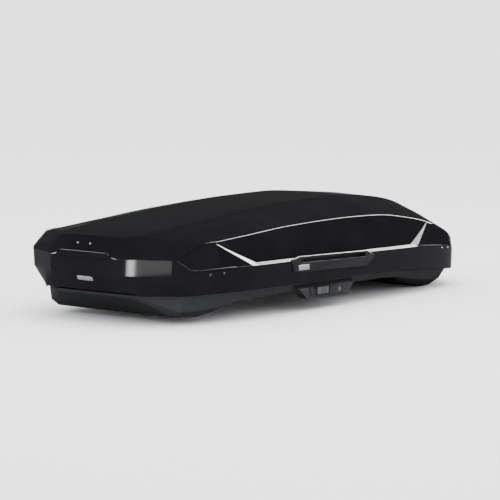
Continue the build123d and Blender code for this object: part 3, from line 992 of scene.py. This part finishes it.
class Recipe(Wiring):
    """A geometry node tree in the making, with named inputs."""

    def __init__(self, name: str, entries: dict[str, str]) -> None:
        """Start a tree that takes a geometry, a material and further inputs.

        Args:
            name: the tree's name.
            entries: the further inputs' socket types by name.
        """
        super().__init__(bpy.data.node_groups.new(name, "GeometryNodeTree"))
        self.sockets: dict[str, str] = {}
        self.source = self.tree.nodes.new("NodeGroupInput")
        self.sink = self.tree.nodes.new("NodeGroupOutput")
        interface = self.tree.interface
        interface.new_socket("Geometry", in_out="OUTPUT", socket_type="NodeSocketGeometry")
        always = {"Geometry": "NodeSocketGeometry", "Coat": "NodeSocketMaterial"}
        for entry, kind in {**always, **entries}.items():
            socket = interface.new_socket(entry, in_out="INPUT", socket_type=kind)
            self.sockets[entry] = socket.identifier

    def given(self, name: str) -> Signal:
        """The signal of a named input."""
        return Signal(self, self.source.outputs[name])

    def stand_on_points(self, shape: Signal) -> Signal:
        """Stand a shape on every seed point, turned to face the point's own way."""
        named = {"data_type": "FLOAT_VECTOR"}
        facing = self.node("GeometryNodeInputNamedAttribute", named, {"Name": "facing"})
        turn = self.node("FunctionNodeAlignRotationToVector", {"axis": "Z"}, {"Vector": facing})
        sockets = {"Points": self.given("Geometry"), "Instance": shape, "Rotation": turn}
        return self.node("GeometryNodeInstanceOnPoints", {}, sockets)

    def close(self, shape: Signal) -> None:
        """End the tree: make the copies real and give them their finish."""
        real = self.node("GeometryNodeRealizeInstances", {}, {"Geometry": shape})
        coated = {"Geometry": real, "Material": self.given("Coat")}
        self.feed(self.sink.inputs[0], self.node("GeometryNodeSetMaterial", {}, coated))

    def cook(
        self, name: str, seeds: bpy.types.Object, values: dict[str, object], coat: Coat
    ) -> bpy.types.Object:
        """Run the tree on a seed mesh.

        Args:
            name: the piece's name.
            seeds: the object that carries the seed mesh; it becomes the piece.
            values: the tree's inputs by name.
            coat: the finish.

        Returns:
            The piece, with a plain mesh.
        """
        run = seeds.modifiers.new(name, "NODES")
        run.node_group = self.tree
        for key, value in {**values, "Coat": coat.material}.items():
            run[self.sockets[key]] = value
        seeds.name = name
        shade(settle(seeds).data, 38.0)
        bpy.data.node_groups.remove(self.tree)
        return seeds


def seed_points(spots: Sequence[tuple[Vector, Vector]]) -> bpy.types.Object:
    """A mesh of loose points, each with a facing direction, for a recipe to work on."""
    mesh = bpy.data.meshes.new("seeds")
    mesh.from_pydata([spot for spot, _ in spots], [], [])
    facing = mesh.attributes.new("facing", "FLOAT_VECTOR", "POINT")
    facing.data.foreach_set("vector", [part for _, way in spots for part in way])
    seeds = bpy.data.objects.new("seeds", mesh)
    bpy.context.scene.collection.objects.link(seeds)
    return seeds


def islands(node: str) -> list[tuple[Vector, Vector]]:
    """The separate solids of a CAD node, each as its lowest and highest corner."""
    bm = bmesh.new()
    bm.from_mesh(frame["nodes"][node].data)
    bmesh.ops.remove_doubles(bm, verts=bm.verts, dist=WELD)
    found, left = [], set(bm.verts)
    while left:
        group, edge = set(), [left.pop()]
        while edge:
            vert = edge.pop()
            group.add(vert)
            for link in vert.link_edges:
                other = link.other_vert(vert)
                if other in left:
                    left.discard(other)
                    edge.append(other)
        points = [vert.co for vert in group]
        low = Vector(min(point[axis] for point in points) for axis in range(3))
        high = Vector(max(point[axis] for point in points) for axis in range(3))
        found.append((low, high))
    bm.free()
    return sorted(found, key=lambda box: tuple(box[0]))


class Side(Enum):
    """The two long sides of the box, with the sign of Y there."""

    LEFT = 1
    RIGHT = -1

    @property
    def word(self) -> str:
        """The side's name as it stands in node names."""
        return self.name.lower()


@dataclass(frozen=True)
class Rivets:
    """Domed blind rivets in the lid: a pair near each corner and two in the tail."""

    radius: float = 5.2
    dome: float = 2.6
    tail_height: float = 221.0
    tail_y: tuple[float, float] = (48.0, -13.0)

    def spots(self, lid: LidShell) -> list[tuple[Vector, Vector]]:
        """Where each rivet stands on the shell, and which way it faces."""
        found = []
        for low, high in islands("lid_rivets"):
            middle = (low + high) / 2 / MM
            side = 1 if middle.y > 0 else -1
            step = 4
            nearby = (0, 0), (step, 0), (0, step)
            y, ahead, above = (lid.side_at(middle.x + dx, middle.z + dz) for dx, dz in nearby)
            way = Vector(((y - ahead) / step, side, (y - above) / step)).normalized()
            found.append((Vector((middle.x, side * y, middle.z)) * MM, way))
        tail, rise = LID_TABLE[0], LID_TABLE[1][7] - LID_TABLE[0][7]
        run = LID_TABLE[1][0] - tail[0]
        x = tail[0] + run * (self.tail_height - tail[7]) / rise
        way = Vector((-rise, 0, run)).normalized()
        return found + [(Vector((x, y, self.tail_height)) * MM, way) for y in self.tail_y]

    def build(self, lid: LidShell) -> bpy.types.Object:
        """Stand a flattened dome on every spot."""
        recipe = Recipe("rivet_rows", {"Size": "NodeSocketVector"})
        round_ball = {"Segments": 24, "Rings": 12, "Radius": 1.0}
        ball = recipe.node("GeometryNodeMeshUVSphere", {}, round_ball)
        sized = {"Geometry": ball, "Scale": recipe.given("Size")}
        recipe.close(recipe.stand_on_points(recipe.node("GeometryNodeTransform", {}, sized)))
        values = {"Size": (self.radius * MM, self.radius * MM, self.dome * MM)}
        piece = recipe.cook("rivet_heads", seed_points(self.spots(lid)), values, Coat.RIVET)
        return mount(piece, "lid", "rivet_metal", ["lid_rivets"])


def inwards(spot: Vector) -> Vector:
    """The way from a spot near one side of the box to its middle."""
    return Vector((0, -1 if spot.y > 0 else 1, 0))


def upwards(_: Vector) -> Vector:
    """Straight up, wherever the spot is."""
    return Vector((0, 0, 1))


@dataclass(frozen=True)
class SocketScrews:
    """Low round-headed screws with a six-sided socket, one on each solid of a CAD node."""

    node: str
    name: str
    facing: Callable[[Vector], Vector]
    turns: int = 24
    # the head's outline: share of its radius and of its height, and whether it is six-sided
    profile: tuple[tuple[float, float, bool], ...] = (
        (1.0, 0.0, False), (1.0, 0.55, False), (0.93, 0.82, False), (0.78, 0.96, False),
        (0.6, 1.0, False), (0.42, 1.0, True), (0.40, 0.94, True), (0.40, 0.35, True),
    )

    def head(self, radius: float, height: float) -> bpy.types.Object:
        """One head, standing on its underside along +Z.

        Args:
            radius: its outer radius, in metres.
            height: its height, in metres.

        Returns:
            The head.
        """
        bm = bmesh.new()
        rings = []
        for share, rise, six in self.profile:
            ring = []
            for turn in range(self.turns):
                angle = 2 * math.pi * turn / self.turns
                sixth = (angle + math.pi / 6) % (math.pi / 3) - math.pi / 6
                reach = share * radius / (math.cos(sixth) if six else 1.0)
                spot = (reach * math.cos(angle), reach * math.sin(angle), rise * height)
                ring.append(bm.verts.new(spot))
            rings.append(ring)
        for lower, upper in zip(rings, rings[1:]):
            bridge(bm, lower, upper)
        bm.faces.new(rings[0][::-1])
        bm.faces.new(rings[-1])
        return finish_mesh("screw_head", bm, [Coat.SCREW], sharp=38.0)

    def build(self) -> bpy.types.Object:
        """Stand a head on every one of the node's solids."""
        spots, radius, height = [], 0.0, 0.0
        for low, high in islands(self.node):
            middle, half = (low + high) / 2, (high - low) / 2
            way = self.facing(middle)
            thick = abs(half.dot(way))
            spots.append((middle - way * thick, way))
            radius, height = max(half.x, radius), 2 * thick
        head = self.head(radius, height)
        recipe = Recipe("screw_rows", {"Head": "NodeSocketObject"})
        sockets = {"Object": recipe.given("Head")}
        shape = recipe.node("GeometryNodeObjectInfo", {}, sockets, "Geometry")
        recipe.close(recipe.stand_on_points(shape))
        piece = recipe.cook(self.name, seed_points(spots), {"Head": head}, Coat.SCREW)
        bpy.data.objects.remove(head)
        return mount(piece, body_of(self.node), "screw_steel", [self.node])


@dataclass(frozen=True)
class FloorRibs:
    """Shallow stiffening ribs pressed across the tray's floor between the rails."""

    pitch: float = 52.0
    width: float = 14.0
    height: float = 2.0
    sunk_share: float = 0.35
    margin: float = 14.0
    ease: float = 0.9

    def build(self) -> bpy.types.Object:
        """Lay a row of ribs along the floor."""
        left, right = (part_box(f"floor_rail_{side.word}") for side in Side)
        half_y = min(abs(left[0].y), abs(right[1].y)) - self.margin * MM
        recipe = Recipe("rib_row", {
            "Count": "NodeSocketInt", "Pitch": "NodeSocketVector", "Size": "NodeSocketVector",
        })
        spaced = {"Count": recipe.given("Count"), "Offset": recipe.given("Pitch")}
        line = recipe.node("GeometryNodeMeshLine", {"mode": "OFFSET"}, spaced)
        rib = recipe.node("GeometryNodeMeshCube", {}, {"Size": recipe.given("Size")})
        placed = {"Points": line, "Instance": rib}
        recipe.close(recipe.node("GeometryNodeInstanceOnPoints", {}, placed))
        values = {
            "Count": int((left[1].x - left[0].x) / (self.pitch * MM)),
            "Pitch": (self.pitch * MM, 0.0, 0.0),
            "Size": (self.width * MM, 2 * half_y, self.height * MM),
        }
        seeds = seed_points([(Vector(), Vector((0, 0, 1)))])
        piece = recipe.cook("floor_ribs", seeds, values, Coat.TRAY)
        rise = self.sunk_share * self.height * MM
        start = Vector((left[0].x + self.pitch * MM / 2, 0.0, left[0].z + rise))
        for vert in piece.data.vertices:
            vert.co += start
        modify(piece, "soft_edges", "BEVEL", width=self.ease * MM, segments=3)
        return mount(settle(piece), "base", "tray_textured")


# ---- sub-assemblies -----------------------------------------------------------------------


@dataclass
class Lid:
    """The whole lid: shell, lip, rivets, handles with their pockets, and blank badges."""

    shell: LidShell = field(default_factory=LidShell)

    def build(self) -> None:
        """Build the lid's pieces."""
        pockets = [HandlePocket(side.value) for side in Side]
        self.shell.build([pocket.cutter() for pocket in pockets])
        self.shell.build_lip()
        for side, pocket in zip(Side, pockets):
            pocket.build(f"handle_pocket_{side.word}")
            GripHandle(side.value).build(side.word)
            CornerBeads(side.value).build(self.shell, side.word)
            Refined(f"badge_{side.word}", Coat.PLATE, "badge_plate", 0.6, segments=3).build()
        Refined("badge_rear", Coat.PLATE, "badge_plate", 0.6, segments=3).build()
        Rivets().build(self.shell)
        SocketScrews("handle_screws", "handle_screw_heads", inwards).build()


class Tray:
    """The formed tray with its rails, ribs and screws."""

    def build(self) -> None:
        """Build the tray's pieces."""
        Refined("base_shell", Coat.TRAY, "tray_textured", 2.2, limit=16.0, segments=3).build()
        for side in Side:
            Refined(f"floor_rail_{side.word}", Coat.RAIL, "rail_steel", 0.4).build()
        FloorRibs().build()
        SocketScrews("tray_screws", "tray_screw_heads", upwards).build()


@dataclass(frozen=True)
class LockSide:
    """One side's lock: housing, slide lever, key cylinder, rod, hooks, pins and saddles."""

    side: Side

    def build(self) -> None:
        """Build the lock's pieces."""
        parts = (
            ("lock_housing", Coat.LOCK, "housing_plastic", 0.9),
            ("slide_lever", Coat.LEVER, "lever_plastic", 0.6),
            ("key_cylinder", Coat.KEY, "key_metal", 0.35),
            ("latch_rod", Coat.ZINC, "bracket_zinc", 0.4),
            ("latch_hooks", Coat.ZINC, "bracket_zinc", 0.5),
            ("latch_brackets", Coat.ZINC, "bracket_zinc", 0.4),
            ("latch_pins", Coat.PIN, "pin_steel", 0.5),
            ("latch_saddles", Coat.SADDLE, "saddle_plastic", 0.5),
        )
        for part, coat, slot, ease in parts:
            Refined(f"{part}_{self.side.word}", coat, slot, ease).build()


class Lifters:
    """The two crossed pairs of lifter arms with their brackets and pins."""

    def build(self) -> None:
        """Build the arms, brackets and pins."""
        for place in ("rear", "front"):
            for letter in "ab":
                arm = f"lifter_arm_{place}_{letter}"
                Refined(arm, Coat.ARM, "arm_steel", 0.8, segments=3).build()
        for end in ("base", "lid"):
            Refined(f"arm_brackets_{end}", Coat.ZINC, "bracket_zinc", 0.4).build()
            Refined(f"arm_pins_{end}", Coat.PIN, "pin_steel", 0.5).build()


@dataclass(frozen=True)
class BarClamp:
    """One crossbar clamp: housing, knob, two-way screw and a pair of jaws."""

    place: str

    def build(self) -> None:
        """Build the clamp's pieces."""
        parts = (
            ("clamp_housing", Coat.LOCK, "housing_plastic", 1.2),
            ("clamp_knob", Coat.KNOB, "knob_plastic", 0.9),
            ("clamp_screw", Coat.SCREW, "screw_steel", 0.4),
            ("front_jaw", Coat.JAW, "jaw_plastic", 1.2),
            ("rear_jaw", Coat.JAW, "jaw_plastic", 1.2),
        )
        for part, coat, slot, ease in parts:
            Refined(f"{part}_{self.place}", coat, slot, ease, segments=3).build()


# ---- studio -------------------------------------------------------------------------------


class Serves(Enum):
    """What a lamp lights: mirror-like reflections only, or everything but those."""

    GLOSS = "gloss"
    BODY = "body"


@dataclass(frozen=True)
class Lamp:
    """A soft panel of light seen from the box in one direction."""

    name: str
    way: tuple[float, float, float]
    distance: float
    width: float
    height: float
    glow: float
    serves: Serves = Serves.GLOSS

    def build(self, centre: Vector) -> None:
        """Hang the panel and turn it to the box."""
        light = bpy.data.lights.new(self.name, "AREA")
        light.shape = "RECTANGLE"
        light.size, light.size_y = self.width, self.height
        light.energy = self.glow * math.pi * self.width * self.height
        lamp = bpy.data.objects.new(self.name, light)
        way = Vector(self.way).normalized()
        lamp.location = centre + way * self.distance
        lamp.rotation_euler = way.to_track_quat("Z", "Y").to_euler()
        lamp.visible_camera = False
        lamp.visible_diffuse = self.serves is Serves.BODY
        lamp.visible_glossy = self.serves is Serves.GLOSS
        bpy.context.scene.collection.objects.link(lamp)


@dataclass
class Studio:
    """Pale floor with painted shade in its reflections, soft panels of light and the camera."""

    floor_size: float = 500.0
    floor_tone: Colour = (0.80, 0.80, 0.81)
    sky: float = 3.3
    gloss_sky: float = 0.05
    # painted shade: the share of the floor's colour that glossy rays see, which darkens the
    # floor's reflections in the box
    gloss_floor: float = 0.07
    backdrop: float = 1.0
    air_tone: tuple[float, ...] = (0.97, 0.98, 1.0, 1.0)
    eye: tuple[float, float, float] = (-8.2916, -6.7116, 1.2910)
    aim: tuple[float, float, float] = (0.0, 0.0, 0.115)
    lens: float = 196.0
    lamps: tuple[Lamp, ...] = (
        Lamp("crease_panel", (0.78, -0.12, 0.61), 7.0, 2.6, 6.0, 30.0),
        Lamp("wall_panel", (0.60, -0.455, 0.66), 6.0, 1.5, 1.7, 24.0),
        Lamp("lip_panel", (-0.66, 0.655, 0.36), 6.0, 2.4, 1.2, 26.0),
        Lamp("tail_panel", (-0.86, -0.29, 0.40), 5.0, 1.6, 0.9, 12.0),
        Lamp("band_strip", (-0.967, -0.246, -0.038), 1.626, 0.028, 0.085, 30.0),
        Lamp("band_glow", (-0.9475, -0.312, -0.038), 1.650, 0.24, 0.085, 2.6),
        Lamp("overhead", (-0.1, -0.2, 0.97), 5.0, 5.0, 4.0, 3.4, Serves.BODY),
    )

    def build(self) -> None:
        """Set the whole studio up."""
        self.build_world()
        self.build_floor()
        self.build_camera()
        centre = (Vector(CAD_BOX[0]) + Vector(CAD_BOX[1])) / 2
        for lamp in self.lamps:
            lamp.build(centre)

    def build_world(self) -> None:
        """An even light of one strength for each kind of ray, and a pale backdrop."""
        world = bpy.data.worlds.new("studio_air")
        world.use_nodes = True
        air = Wiring(world.node_tree)
        layers = [
            air.node("ShaderNodeBackground", {}, {"Color": self.air_tone, "Strength": strength})
            for strength in (self.sky, self.gloss_sky, self.backdrop)
        ]
        shown = layers[0]
        for ray, layer in zip(("Is Glossy Ray", "Is Camera Ray"), layers[1:]):
            share = air.node("ShaderNodeLightPath", output=ray)
            shown = air.node("ShaderNodeMixShader", {}, {0: share, 1: shown, 2: layer})
        output = air.tree.nodes.new("ShaderNodeOutputWorld")
        air.feed(output.inputs[0], shown)
        bpy.context.scene.world = world

    def build_floor(self) -> None:
        """A pale floor under the box with painted shade: glossy rays see it dark, so its
        reflections in the box are painted darker.
        """
        bm = bmesh.new()
        bmesh.ops.create_grid(bm, x_segments=1, y_segments=1, size=self.floor_size / 2)
        bmesh.ops.translate(bm, verts=bm.verts, vec=(0, 0, CAD_BOX[0][2]))
        mesh = bpy.data.meshes.new("studio_floor")
        bm.to_mesh(mesh)
        bm.free()
        paint = Paint("floor_paper")
        # painted shade: glossy rays see the floor dark, so its reflections in the box come out
        # darker
        reflection_shade_mask = paint.node("ShaderNodeLightPath", output="Is Glossy Ray")
        painted_reflection_colour = tuple(self.gloss_floor * part for part in self.floor_tone)
        tone = paint.shades(self.floor_tone, painted_reflection_colour, reflection_shade_mask)
        paint.set({"Base Color": tone, "Roughness": 0.9, "Specular IOR Level": 0.1})
        mesh.materials.append(paint.material)
        floor = bpy.data.objects.new("studio_floor", mesh)
        bpy.context.scene.collection.objects.link(floor)

    def build_camera(self) -> None:
        """The camera, low behind the right-hand corner, with a long lens."""
        camera = bpy.data.cameras.new("camera")
        camera.lens = self.lens
        camera.sensor_width = 36.0
        camera.clip_end = 600.0
        holder = bpy.data.objects.new("camera", camera)
        holder.location = self.eye
        way = Vector(self.aim) - Vector(self.eye)
        holder.rotation_euler = way.to_track_quat("-Z", "Y").to_euler()
        bpy.context.scene.collection.objects.link(holder)
        bpy.context.scene.camera = holder


def main() -> None:
    """Build every sub-assembly in order and note the sizes."""
    logging.basicConfig(level=logging.INFO, format="%(message)s")
    Studio().build()
    Lid().build()
    Tray().build()
    for side in Side:
        LockSide(side).build()
    Lifters().build()
    for place in ("rear_left", "rear_right", "front_left", "front_right"):
        BarClamp(place).build()


if __name__ == "__main__":
    main()
